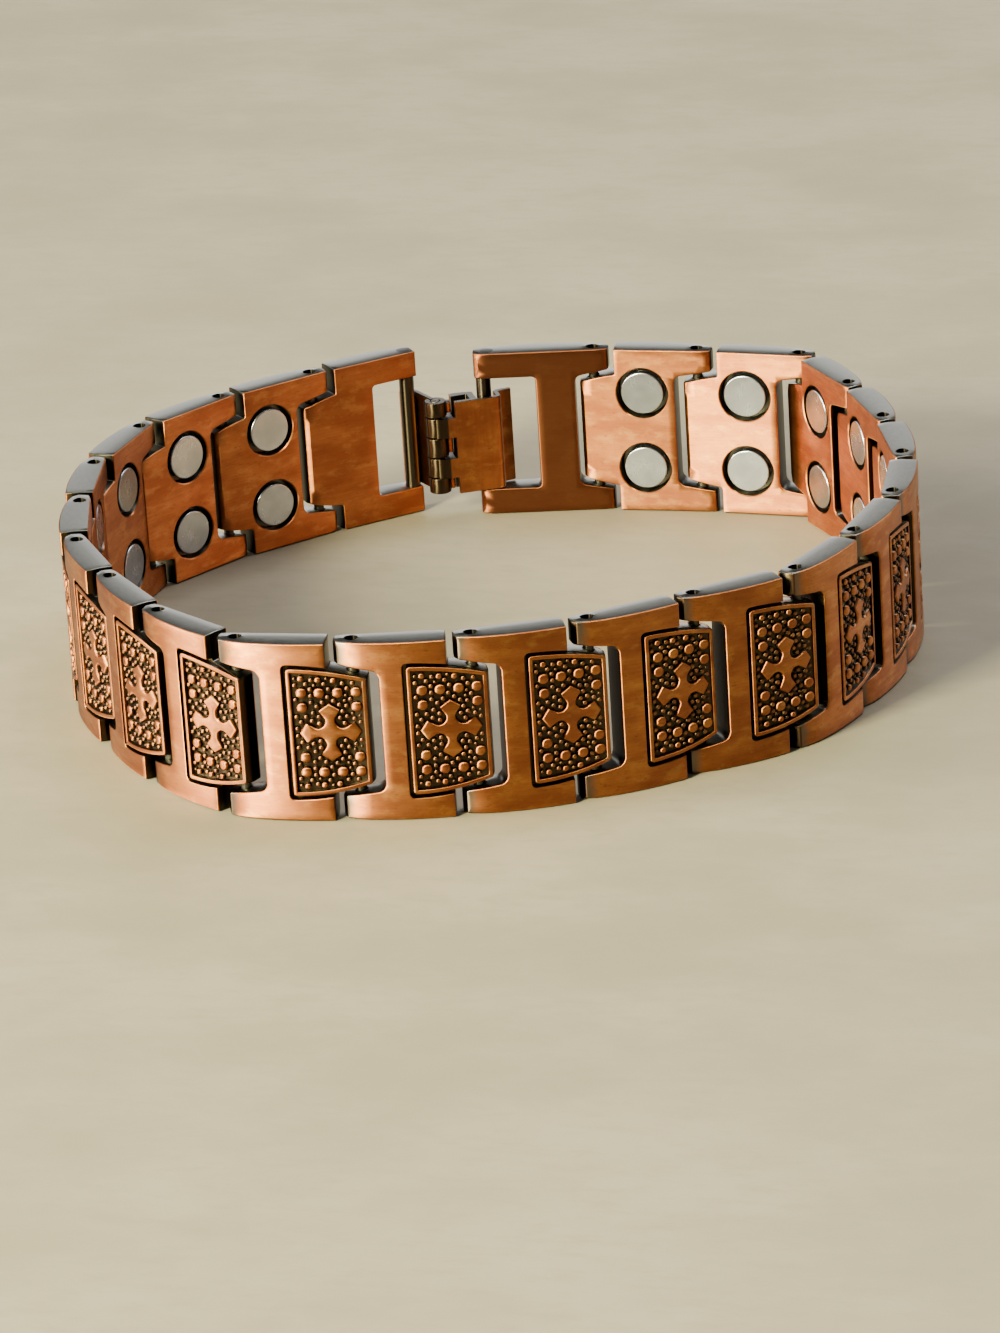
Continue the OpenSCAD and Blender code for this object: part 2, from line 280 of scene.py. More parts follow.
def link_places():
    """Pin and heading of every link, from the bar end link to the window end link."""
    heading = TURNS[0]
    places = [(FIRST_PIN - polar(PITCH, heading), heading)]
    at = FIRST_PIN.copy()
    for turn in TURNS:
        heading -= turn
        places.append((at.copy(), heading))
        at = at + polar(PITCH, heading)
    return places


def in_plane(k, at):
    """Where a point of link k's frame lies in the shared frame, seen from above."""
    origin, heading = PLACES[k]
    return origin + polar(at[0], heading) + polar(at[1], heading + 90)


def frame_matrix(at, heading):
    """Matrix of a frame at a point in the plane, for meshes in metres."""
    return Matrix.Translation((at.x * MM, at.y * MM, 0)) @ Matrix.Rotation(math.radians(heading), 4, "Z")


PLACES = link_places()
BARREL_AT = in_plane(WINDOW_END, BARREL)
HOOK_WAY = in_plane(0, HOOK_BAR) - BARREL_AT
HOOK_REACH = HOOK_WAY.length
HOOK_HEADING = math.degrees(math.atan2(HOOK_WAY.y, HOOK_WAY.x))


# Outlines

def crown(u):
    """Height of the outer face: one wide curve that falls away faster at the ears' tips."""
    v = CROWN_V - CROWN_R + math.sqrt(CROWN_R ** 2 - (u - CROWN_U) ** 2)
    over = max(0.0, u - TIP_FALL_U)
    return v - over ** 2 / (2 * TIP_FALL_R)


def inner(u):
    """Height of the inner face: flat, bevelled at the tongue's free end and rounded at the ears' tips."""
    start = TIP_U - EAR_ROUND
    if u > start:
        over = min(u - start, EAR_ROUND * EAR_ROUND_SHARE)
        return INNER_V + EAR_ROUND - math.sqrt(EAR_ROUND ** 2 - over ** 2)
    return INNER_V + max(0.0, (TONGUE_U + TONGUE_BEVEL_W - u) * TONGUE_BEVEL_SLOPE)


def below_crown(depth):
    """Height that stays a depth below the outer face, as a function of u."""
    return lambda u: crown(u) - depth


def above_inner(depth):
    """Height that stays a depth inside the inner face, as a function of u."""
    return lambda u: inner(u) + depth


def panel_half(u):
    """Half height of the panel: its two long sides are shallow curves."""
    return PANEL_ROOT_HALF - PANEL_CURVE * (PANEL_ROOT_U - u) ** 2


def side_points(u1, u2, margin, count):
    """Corners along a panel's curved side, from u1 to u2, without the ends."""
    steps = [u1 + (u2 - u1) * i / count for i in range(1, count)]
    return [(u, panel_half(u) + margin, 0) for u in steps]


def mirrored(half):
    """A closed anticlockwise outline from its upper half, given from right to left as (u, z, radius)."""
    return half + [(u, -z, r) for u, z, r in reversed(half)]


def densified(corners, step):
    """The corners with plain points added along every side longer than the step."""
    out = []
    for i, corner in enumerate(corners):
        after = corners[(i + 1) % len(corners)]
        a, b = Vector(corner[:2]), Vector(after[:2])
        out.append(corner)
        length = (b - a).length
        count = int(length / step)
        start, end = corner[2] * CORNER_ROOM, after[2] * CORNER_ROOM
        for j in range(1, count + 1):
            t = (start + (length - start - end) * j / (count + 1)) / length
            p = a.lerp(b, t)
            out.append((p.x, p.y, 0))
    return out


def outline(corners, inset=0.0):
    """Points of an anticlockwise outline drawn inward by inset. Every corner is (u, z, radius)."""
    points = []
    count = len(corners)
    for i in range(count):
        a, b, c = (Vector(corners[(i + j) % count][:2]) for j in (-1, 0, 1))
        radius = corners[i][2]
        d1, d2 = (b - a).normalized(), (c - b).normalized()
        n1, n2 = Vector((-d1.y, d1.x)), Vector((-d2.y, d2.x))
        half = (n1 + n2).normalized()
        apex = b + half * (inset / max(SHARPEST, half.dot(n1)))
        turn = math.atan2(d1.cross(d2), d1.dot(d2))
        if radius == 0 or abs(turn) < SMALLEST_TURN:
            points.append(apex)
            continue
        steps = max(3, round(radius * CORNER_STEPS))
        sign = 1 if turn > 0 else -1
        r = max(SMALLEST_R, radius - inset * sign)
        centre = apex + half * (r / math.cos(turn / 2)) * sign
        first = math.atan2(-n1.y * sign, -n1.x * sign)
        for j in range(steps + 1):
            angle = first + turn * j / steps
            points.append(centre + Vector((math.cos(angle), math.sin(angle))) * r)
    return points


def circle_points(u, z, r, count):
    """Anticlockwise points of a circle."""
    return [Vector((u, z)) + polar(r, 360 * i / count) for i in range(count)]


def cross_outline(grow):
    """The cross with flared, pointed arms and round notches between them, grown by the given amount."""
    notch_r = NOTCH_R - grow
    reach = CROSS_REACH + grow * REACH_GROWTH
    corner_r = CROSS_CORNER_R + grow * CORNER_GROWTH
    points = []
    for turn in (0, 90, 180, 270):
        points += [polar(reach, turn), polar(corner_r, turn + CROSS_CORNER_TURN)]
        centre = polar(NOTCH_AT * math.sqrt(2), turn + 45)
        for j in range(NOTCH_STEPS + 1):
            angle = NOTCH_FROM - j * (NOTCH_FROM - NOTCH_TO) / NOTCH_STEPS
            points.append(centre + polar(notch_r, turn + angle))
        points.append(polar(corner_r, turn + 90 - CROSS_CORNER_TURN))
    return [Vector((CROSS_U + p.x, p.y)) for p in points]


def is_inside(polygon, p):
    """Whether a point lies inside a polygon."""
    inside = False
    for i, b in enumerate(polygon):
        a = polygon[i - 1]
        if (a.y > p.y) != (b.y > p.y) and p.x < (b.x - a.x) * (p.y - a.y) / (b.y - a.y) + a.x:
            inside = not inside
    return inside


def clear_by(polygon, p, margin):
    """Whether a point lies at least the margin from a polygon's sides."""
    for i, b in enumerate(polygon):
        a = polygon[i - 1]
        along = b - a
        t = max(0.0, min(1.0, (p - a).dot(along) / max(along.length_squared, 1e-12)))
        if (a + along * t - p).length < margin:
            return False
    return True


def clear_of(polygon, p, margin):
    """Whether a point lies inside a polygon, at least the margin from its sides."""
    return is_inside(polygon, p) and clear_by(polygon, p, margin)


def bevel_steps(size, count=3):
    """(inset, depth) pairs of a quarter-round bevel, from the wall to the face."""
    turns = [math.pi / 2 * i / count for i in range(count + 1)]
    return [(size * (1 - math.cos(t)), size * (1 - math.sin(t))) for t in turns]


# Meshes

class Solid:
    """A closed mesh made of rings of points, each joined to the next, and caps."""

    def __init__(self):
        self.bm = bmesh.new()

    def ring(self, points, height):
        """Vertices of a ring drawn in a face's plane. height is a number or a function of u."""
        heights = [height(p.x) if callable(height) else height for p in points]
        return [self.bm.verts.new((p.x, v, p.y + MID_Z)) for p, v in zip(points, heights)]

    def points(self, places):
        """Vertices at places given as (x, y, z)."""
        return [self.bm.verts.new(p) for p in places]

    def wall(self, rings):
        """Quads between each ring and the next, all of the same count."""
        for a, b in zip(rings, rings[1:]):
            for i in range(len(a)):
                j = (i + 1) % len(a)
                self.bm.faces.new((a[i], a[j], b[j], b[i]))

    def cap(self, ring):
        """One flat face over a ring."""
        self.bm.faces.new(ring)

    def closed(self, rings, name):
        """The mesh of a wall through the rings with a flat cap at both ends."""
        self.wall(rings)
        self.cap(rings[0])
        self.cap(rings[-1])
        return self.mesh(name)

    def fan(self, ring, at):
        """Triangles from a ring to a point in its middle."""
        tip = self.bm.verts.new(at)
        for i in range(len(ring)):
            self.bm.faces.new((ring[i], ring[(i + 1) % len(ring)], tip))

    def fill(self, rings, height, extra=()):
        """Triangles inside the first ring and round the others, with extra points in between."""
        verts = [v for ring in rings for v in ring]
        flat = [Vector((v.co.x, v.co.z)) for v in verts] + [Vector((u, z + MID_Z)) for u, z in extra]
        edges, start = [], 0
        for ring in rings:
            edges += [(start + i, start + (i + 1) % len(ring)) for i in range(len(ring))]
            start += len(ring)
        places, _, faces, origins = delaunay_2d_cdt(flat, edges, [], 1, 1e-6)[:4]
        holes = [[Vector((v.co.x, v.co.z)) for v in ring] for ring in rings[1:]]
        made = []
        for p, known in zip(places, origins):
            known = [o for o in known if o < len(verts)]
            made.append(verts[known[0]] if known else self.bm.verts.new((p.x, height(p.x), p.y)))
        for face in faces:
            corners = [made[i] for i in face]
            middle = (places[face[0]] + places[face[1]] + places[face[2]]) / 3
            if len(set(corners)) == 3 and not any(is_inside(hole, middle) for hole in holes):
                self.bm.faces.new(corners)

    def mesh(self, name):
        """The finished mesh, its normals pointing outward."""
        bmesh.ops.remove_doubles(self.bm, verts=self.bm.verts, dist=WELD)
        bmesh.ops.recalc_face_normals(self.bm, faces=self.bm.faces)
        made = bpy.data.meshes.new(name)
        self.bm.to_mesh(made)
        self.bm.free()
        return made


def lathe(name, profile, segments, axis="z"):
    """A turned solid from (radius, height) pairs, closed at both ends, about the given axis."""
    solid = Solid()
    rings = []
    for radius, height in profile:
        flat = [polar(radius, 360 * i / segments) for i in range(segments)]
        places = [(p.x, p.y, height) if axis == "z" else (p.x, height, p.y) for p in flat]
        rings.append(solid.points(places))
    return solid.closed(rings, name)


def extruded(name, corners, z1, z2, bevel=0.0):
    """A prism standing along the band's width. The corners are (x, y, radius), anticlockwise."""
    solid = Solid()
    steps = bevel_steps(bevel) if bevel else [(0.0, 0.0)]
    levels = [(i, z1 + d) for i, d in reversed(steps)] + [(i, z2 - d) for i, d in steps]
    rings = [solid.points([(p.x, p.y, z) for p in outline(corners, inset)]) for inset, z in levels]
    return solid.closed(rings, name)


def moved(mesh, way):
    """The mesh, moved."""
    mesh.transform(Matrix.Translation(way))
    return mesh


def tube(name, x, y, r, z1, z2, bevel=NO_BEVEL, segments=40):
    """A round bar along the band's width, with bevelled rims."""
    steps = bevel_steps(bevel)
    profile = [(r - i, z1 + d) for i, d in reversed(steps)] + [(r - i, z2 - d) for i, d in steps]
    return moved(lathe(name, profile, segments), (x, y, 0))


def joined(name, meshes):
    """One mesh from several."""
    bm = bmesh.new()
    for mesh in meshes:
        bm.from_mesh(mesh)
    made = bpy.data.meshes.new(name)
    bm.to_mesh(made)
    bm.free()
    return made


def combined(mesh, other, operation):
    """The mesh after an exact boolean with another."""
    a = bpy.data.objects.new("work_a", mesh)
    b = bpy.data.objects.new("work_b", other)
    for o in (a, b):
        bpy.context.scene.collection.objects.link(o)
    change = a.modifiers.new("boolean", "BOOLEAN")
    change.object = b
    change.operation = operation
    change.solver = "EXACT"
    bpy.context.view_layer.update()
    made = bpy.data.meshes.new_from_object(a.evaluated_get(bpy.context.evaluated_depsgraph_get()))
    for o in (a, b):
        bpy.data.objects.remove(o)
    return made


# Castings

def tongue_end():
    """Upper half of a casting's near end with its two rails and its tongue."""
    root, free = panel_half(RAIL_U) + TONGUE_MARGIN, panel_half(TONGUE_U) + TONGUE_MARGIN
    return [(RAIL_U, MID_Z, RAIL_R), (RAIL_U, root, RAIL_ROOT_R),
            *side_points(RAIL_U, TONGUE_U, TONGUE_MARGIN, 5), (TONGUE_U, free, TONGUE_R)]


def ears_end(opening_u):
    """Upper half of a casting's far end with its ears round an opening."""
    return [(opening_u, OPENING_HALF, EAR_ROOT_R), (TIP_U, MOUTH_HALF, EAR_MOUTH_R), (TIP_U, MID_Z, END_R)]


def arms_end(arm_u, post_u):
    """Upper half of an end with arms beside a window, from the arm's outer corner to the post."""
    return [(arm_u, MID_Z, END_R), (arm_u, ARM_HALF, ARM_R), (post_u, ARM_HALF, WINDOW_R)]


def slanted(points, rail_shift, tip_shift):
    """The points moved along the link where the rails' ends and the ears' tips lean back."""
    out = []
    for p in points:
        rail = max(0.0, 1 - abs(p.x - RAIL_U) / RAIL_SLANT_W) if abs(p.y) > RAIL_ROOT_Z else 0.0
        tip = max(0.0, 1 - abs(p.x - TIP_U) / TIP_SLANT_W)
        out.append(Vector((p.x + rail_shift * rail - tip_shift * tip, p.y)))
    return out


def casting_blank(name, half, rails):
    """Solid body of a casting: inner face, walls with a slight crease all round, and outer face.

    The rings are (inset, height, slant of the rails' ends, slant of the ears' tips), innermost first.
    """
    corners = densified(mirrored(half), WALL_STEP)
    levels = [(inset + CREASE_IN, above_inner(depth), RAIL_SLANT, 0.0)
              for inset, depth in reversed(bevel_steps(INNER_BEVEL))]
    levels[0] = (*levels[0][:2], RAIL_SLANT + RAIL_INNER_SLANT, 0.0)
    levels.append((0.0, CREASE_V, RAIL_SLANT / 2, 0.0))
    levels += [(inset + CREASE_IN, below_crown(depth), 0.0, TIP_SLANT)
               for inset, depth in bevel_steps(OUTER_BEVEL)]
    solid = Solid()
    rings = []
    for inset, height, rail_shift, tip_shift in levels:
        points = outline(corners, inset)
        rings.append(solid.ring(slanted(points, rail_shift if rails else 0.0, tip_shift), height))
    solid.wall(rings)
    for ring, height in ((rings[0], inner), (rings[-1], crown)):
        flat = [Vector((v.co.x, v.co.z - MID_Z)) for v in ring]
        grid = [(u, z) for u in FACE_STATIONS for z in FACE_ROWS]
        solid.fill([ring], height, [p for p in grid if clear_of(flat, Vector(p), FACE_MARGIN)])
    return solid.mesh(name)


def pocket_cutter(root_u):
    """Cuts the groove round a panel and lowers the tongue to the groove's floor, with a rounded lip."""
    rail_u = RAIL_U - 0.4
    half = [(root_u + GROOVE_W, panel_half(PANEL_ROOT_U) + GROOVE_W, GROOVE_R)]
    half += side_points(root_u, rail_u + 0.1, GROOVE_W, 6)
    half += [(rail_u, panel_half(RAIL_U) + GROOVE_W, 0), (*GROOVE_MOUTH, 0)]
    levels = [(0.07, GROOVE_V), (0.02, GROOVE_V + 0.03), (0.0, GROOVE_V + 0.1), (0.0, below_crown(0.09)),
              (-0.025, below_crown(0.035)), (-0.08, below_crown(0.004)), (-0.1, CROWN_V + 1)]
    solid = Solid()
    rings = [solid.ring(outline(mirrored(half), inset), height) for inset, height in levels]
    return solid.closed(rings, "pocket")


def pin_cutter(u):
    """Cuts a pin's hole through the width of the band, with a small chamfer at both edges."""
    end = [(PIN_MOUTH_R + OVERSHOOT, -OVERSHOOT), (PIN_MOUTH_R, 0.0), (PIN_HOLE_R, PIN_MOUTH_D)]
    profile = end + [(radius, BAND_W - height) for radius, height in reversed(end)]
    return moved(lathe("pin_hole", profile, 28), (u, 0, 0))


def recess_cutter(z):
    """Cuts a magnet's recess into the inner face, with narrow chamfers at its mouth and its floor."""
    profile = [(RECESS_R + OVERSHOOT, 0.08 - OVERSHOOT), (RECESS_R + 0.08, 0.0), (RECESS_R, 0.08),
               (RECESS_R - 0.02, RECESS_D - 0.08), (RECESS_R - 0.1, RECESS_D)]
    return moved(lathe("recess", profile, 56, axis="y"), (MAGNET_U, INNER_V, MID_Z + z))


def pebble(solid, u, z, radius, height, shape):
    """One pebble of the ornament. Returns its foot's ring."""
    count = 20 if radius > 0.4 else 14 if radius > 0.2 else 10
    floor = crown(u) - FLOOR_D
    rings = [solid.ring(circle_points(u, z, radius * s, count), floor + height * h) for s, h in shape]
    solid.wall(rings)
    solid.fan(rings[-1], (u, floor + height, z + MID_Z))
    return rings[0]


def ground_pebbles(floor_edge, taken):
    """Small pebbles that fill the panel's floor between the larger ones, as (u, z, radius)."""
    cross = cross_outline(CROSS_RINGS[0][0])
    found = []
    grid = [Vector((GROUND_FROM[0] + GROUND_STEP * i, GROUND_FROM[1] + GROUND_STEP * j))
            for j in range(GROUND_ROWS) for i in range(GROUND_COLUMNS)]
    for radius in GROUND_RADII:
        for p in grid:
            near = any((p - Vector(t[:2])).length < radius + t[2] + PEBBLE_GAP for t in taken + found)
            if near or not clear_of(floor_edge, p, radius + PEBBLE_MARGIN):
                continue
            if not is_inside(cross, p) and clear_by(cross, p, radius + PEBBLE_MARGIN):
                found.append((p.x, p.y, radius))
    return found


def add_pebbles(solid, floor_edge):
    """Every pebble of a panel, in two mirrored halves. Returns the rings of their feet."""
    large = [(CROSS_U + side * du, z, LARGE_R) for du, z in LARGE_PEBBLES for side in (-1, 1)]
    edge = [(CROSS_U + du, z, EDGE_R) for du, z in EDGE_PEBBLES]
    small = ground_pebbles(floor_edge, large + edge)
    feet = []
    for kind, height, shape in ((large, LARGE_H, FLAT_PEBBLE), (edge, EDGE_H, FLAT_PEBBLE),
                                (small, GROUND_H, ROUND_PEBBLE)):
        for u, z, radius in kind:
            tall = height - SMALL_LOSS * max(0.0, EDGE_R - radius)
            feet += [pebble(solid, u, side * z, radius, tall, shape) for side in (-1, 1)]
    return feet


def add_cross(solid):
    """The panel's raised cross. Returns its foot's ring."""
    rings = [solid.ring(cross_outline(grow), below_crown(depth)) for grow, depth in CROSS_RINGS]
    solid.wall(rings)
    grow, depth = CROSS_TOP
    top = cross_outline(grow)
    grid = [Vector((CROSS_U + CROSS_GRID * i, CROSS_GRID * j)) for i in range(-6, 7) for j in range(-6, 7)]
    solid.fill([rings[-1]], below_crown(depth), [tuple(p) for p in grid if clear_of(top, p, 0.1)])
    return rings[0]


def panel_mesh(root_u):
    """Ornament panel: rounded rim, sunk floor, cross and pebbles, closed below."""
    half = [(root_u, panel_half(root_u), PANEL_R)]
    half += side_points(root_u - 0.4, PANEL_FREE_U + 0.2, 0, 10)
    half += [(PANEL_FREE_U, panel_half(PANEL_FREE_U), PANEL_R)]
    corners = densified(mirrored(half), PANEL_STEP)
    levels = [(0.0, GROOVE_V - PANEL_FOOT)]
    levels += [(i, below_crown(PANEL_D + d)) for i, d in bevel_steps(RIM_BEVEL)]
    levels += [(RIM_W - i, below_crown(PANEL_D + d)) for i, d in reversed(bevel_steps(RIM_INNER_BEVEL))]
    levels += [(RIM_W + 0.02, below_crown(FLOOR_D - 0.03)), (FLOOR_EDGE, below_crown(FLOOR_D))]
    solid = Solid()
    rings = [solid.ring(outline(corners, inset), height) for inset, height in levels]
    solid.wall(rings)
    solid.cap(rings[0])
    feet = [add_cross(solid)] + add_pebbles(solid, outline(corners, FLOOR_EDGE))
    solid.fill([rings[-1]] + feet, below_crown(FLOOR_D))
    return solid.mesh("panel")


def whole_casting(name, half, cutters, panel_u=None, bar=None):
    """A casting with its cuts, its panel where it has one, and its round bar where it has one."""
    made = casting_blank(name, half, panel_u is not None)
    if panel_u is not None:
        cutters = cutters + [pocket_cutter(panel_u)]
    made = combined(made, joined("cutters", cutters), "DIFFERENCE")
    if panel_u is not None:
        made = combined(made, panel_mesh(panel_u), "UNION")
    if bar is not None:
        reach = WINDOW_HALF + BAR_SINK
        rod = lathe("bar", [(BAR_R, MID_Z - reach), (BAR_R, MID_Z + reach)], 40)
        made = combined(made, moved(rod, (*bar, 0)), "UNION")
    made.name = name
    return made


def magnet_pair_mesh():
    """Two bevelled discs in a link's recesses."""
    steps = bevel_steps(MAGNET_BEVEL, 4)
    high = INNER_V + RECESS_D - MAGNET_GAP
    low = high - MAGNET_T
    profile = [(MAGNET_R - i, low + d) for i, d in reversed(steps)]
    profile += [(MAGNET_R - i, high - d) for i, d in steps]
    discs = [lathe("disc", profile, 64, axis="y") for _ in range(2)]
    return joined("magnets", [moved(disc, (MAGNET_U, 0, MID_Z + side * MAGNET_OFF))
                              for disc, side in zip(discs, (-1, 1))])


# Clasp

def knuckle_span(i, grow):
    """Lowest and highest point of stretch i of the hinge barrel, grown by the given amount."""
    return CLASP_Z + KNUCKLES[i] - grow, CLASP_Z + KNUCKLES[i + 1] + grow


def with_knuckles(mesh, x, y, stretches):
    """A clasp piece with its stretches of the hinge barrel, bored for the pin."""
    for i in stretches:
        stretch = tube("knuckle", x, y, BARREL_R, *knuckle_span(i, -GAP / 2), KNUCKLE_BEVEL)
        mesh = combined(mesh, stretch, "UNION")
    return combined(mesh, tube("bore", x, y, CLASP_BORE_R, CLASP_Z - 1, CLASP_TOP + 1), "DIFFERENCE")


def leaf_mesh():
    """The sheet curled over the window end link's bar, with three knuckles, in that link's frame."""
    centre, x = Vector(WINDOW_BAR), BARREL[0]
    turns = range(0, LEAF_CURL + 1, CURL_STEP)
    outside = [centre + polar(BAR_R + GAP + PLATE_T, a) for a in turns]
    inside = [centre + polar(BAR_R + GAP, a) for a in reversed(turns)]
    corners = [(p.x, p.y, 0) for p in outside + inside]
    corners += [(x - PLATE_T / 2, BARREL[1], 0), (x + PLATE_T / 2, BARREL[1], 0)]
    made = extruded("leaf", corners, CLASP_Z, CLASP_TOP, LEAF_BEVEL)
    for i in HOOK_KNUCKLES:
        room = tube("room", *BARREL, BARREL_R + GAP, *knuckle_span(i, GAP / 2))
        made = combined(made, room, "DIFFERENCE")
    tab_turn = Matrix.Rotation(math.radians(HOOK_HEADING - PLACES[WINDOW_END][1]), 4, "Z")
    for i in LEAF_KNUCKLES:
        tab = extruded("tab", TAB, *knuckle_span(i, -TAB_GAP), CLASP_BEVEL)
        tab.transform(tab_turn)
        made = combined(made, moved(tab, (*BARREL, 0)), "UNION")
    return with_knuckles(made, *BARREL, LEAF_KNUCKLES)


def hook_mesh():
    """The hook in its own frame: x runs from the hinge axis to the bar it clips round."""
    low, high = CLASP_Z, CLASP_TOP
    inside, outside = HOOK_PLATE_Y, HOOK_PLATE_Y - PLATE_T
    wall_x, back_x = HOOK_REACH + BAR_R + HOOK_GAP, HOOK_REACH - BAR_R - HOOK_GAP
    far_x = wall_x + PLATE_T
    plate = [(-0.2, inside, 0), (-0.2, -BARREL_R, 0), (0.3, outside, 0), (far_x, outside, 0.5),
             (far_x, 0.2, 0.1), (wall_x + 1.7, 0.6, 0.1), (wall_x + 1.6, 1, 0.1),
             (wall_x + 0.3, 0.75, 0.2), (wall_x, 0.4, 0.1), (wall_x, inside, 0.1)]
    bulge = [(back_x * t, HOOK_BOX_Y - HOOK_SLOPE * (1 - t) + HOOK_BULGE * t * (1 - t), 0)
             for t in BULGE_AT]
    box = [(0.01, inside - 0.1, 0), (back_x, inside - 0.1, 0), (back_x, HOOK_BOX_Y, 0.12), *bulge,
           (0.01, BARREL_R - 0.01, 0)]
    hollow_x = back_x - HOOK_BACK_T
    hollow = [(HOLLOW_X, inside, 0), (hollow_x, inside, 0.1), (hollow_x, 0.6, 0.2), (HOLLOW_X, 0.45, 0.1)]
    box_mesh = extruded("box", box, low + 0.02, high - 0.02, CLASP_BEVEL)
    box_mesh = combined(box_mesh, extruded("hollow", hollow, low - 1, high + 1), "DIFFERENCE")
    made = combined(extruded("hook", plate, low, high, CLASP_BEVEL), box_mesh, "UNION")
    for i in LEAF_KNUCKLES:
        slot = [(-2, -2, 0), (SLOT_X, -2, 0), (SLOT_X, 2, 0), (-2, 2, 0)]
        made = combined(made, extruded("slot", slot, *knuckle_span(i, GAP / 2)), "DIFFERENCE")
    return with_knuckles(made, 0, 0, HOOK_KNUCKLES)


# Materials

class Wires:
    """Adds and links the nodes of one tree."""

    def __init__(self, tree):
        self.tree = tree

    def put(self, socket, value):
        """Link a socket to another, or set its value."""
        if isinstance(value, bpy.types.NodeSocket):
            self.tree.links.new(value, socket)
        else:
            socket.default_value = (*value, 1) if socket.type == "RGBA" else value

    def add(self, kind, inputs=None, **settings):
        """A new node with its settings and inputs."""
        made = self.tree.nodes.new(kind)
        for key, value in settings.items():
            setattr(made, key, value)
        for key, value in (inputs or {}).items():
            self.put(made.inputs[key], value)
        return made

    def math(self, operation, *values):
        """Result of one operation on numbers."""
        return self.add("ShaderNodeMath", dict(enumerate(values)), operation=operation).outputs[0]

    def vector(self, operation, inputs):
        """Result of one operation on vectors."""
        made = self.add("ShaderNodeVectorMath", inputs, operation=operation)
        return made.outputs["Value" if operation == "DOT_PRODUCT" else "Vector"]

    def unsigned(self, value):
        """A number without its sign."""
        return self.math("ABSOLUTE", value)

    def product(self, a, b):
        """Product of two numbers."""
        return self.math("MULTIPLY", a, b)

    def one_minus(self, value):
        """What a share leaves of 1."""
        return self.math("SUBTRACT", 1.0, value)

    def step(self, value, low, high):
        """0 below low, 1 above high and smooth between them."""
        ends = {"Value": value, "From Min": low, "From Max": high}
        return self.add("ShaderNodeMapRange", ends, interpolation_type="SMOOTHSTEP").outputs["Result"]

    def range(self, value, low, high):
        """A 0 to 1 value spread from low to high."""
        ends = {"Value": value, "To Min": low, "To Max": high}
        return self.add("ShaderNodeMapRange", ends).outputs["Result"]

    def mix(self, share, a, b):
        """Mix of two colours."""
        made = self.add("ShaderNodeMix", data_type="RGBA")
        for index, value in ((0, share), (6, a), (7, b)):
            self.put(made.inputs[index], value)
        return made.outputs[2]

    def blend(self, share, a, b):
        """Mix of two numbers."""
        return self.add("ShaderNodeMix", {0: share, 2: a, 3: b}).outputs[0]


class Shade(Wires):
    """Wires one material's nodes. Lengths are in millimetres of the piece's own frame."""

    def __init__(self, name):
        self.material = bpy.data.materials.new(name)
        self.material.use_nodes = True
        super().__init__(self.material.node_tree)
        self.shader = self.tree.nodes["Principled BSDF"]
        coords = self.add("ShaderNodeTexCoord")
        self.place = self.vector("SCALE", {0: coords.outputs["Object"], "Scale": 1 / MM})
        self.u, self.v, self.z = self.add("ShaderNodeSeparateXYZ", {0: self.place}).outputs
        self.nu, self.nv, self.nz = self.add("ShaderNodeSeparateXYZ", {0: coords.outputs["Normal"]}).outputs
        self.random = self.add("ShaderNodeObjectInfo").outputs["Random"]

    def noise(self, stretch, detail, rough, shift=0.0):
        """Noise with so many lumps per millimetre along, out of and across the band, shifted a piece."""
        stretched = self.vector("MULTIPLY", {0: self.place, 1: stretch})
        offset = self.math("MULTIPLY_ADD", self.random, 40.0, shift)
        inputs = {"Vector": self.vector("ADD", {0: stretched, 1: offset}), "Scale": 1.0,
                  "Detail": detail, "Roughness": rough}
        return self.add("ShaderNodeTexNoise", inputs).outputs[0]

    def off_axis(self, axis, radius):
        """0 within the radius of an axis across the band, 1 a tenth of a millimetre further out."""
        along, out = self.math("SUBTRACT", self.u, axis[0]), self.math("SUBTRACT", self.v, axis[1])
        far = self.math("SQRT", self.math("ADD", self.product(along, along), self.product(out, out)))
        return self.step(far, radius + 0.02, radius + 0.12)

    def finish(self, colour, metallic, rough, bump=None, strength=0.0):
        """The material, with the shader's main sockets linked or set."""
        self.put(self.shader.inputs["Base Color"], colour)
        self.put(self.shader.inputs["Metallic"], metallic)
        self.put(self.shader.inputs["Roughness"], rough)
        if bump is not None:
            inputs = {"Height": bump, "Strength": strength, "Distance": BUMP_D * MM}
            self.put(self.shader.inputs["Normal"], self.add("ShaderNodeBump", inputs).outputs[0])
        return self.material


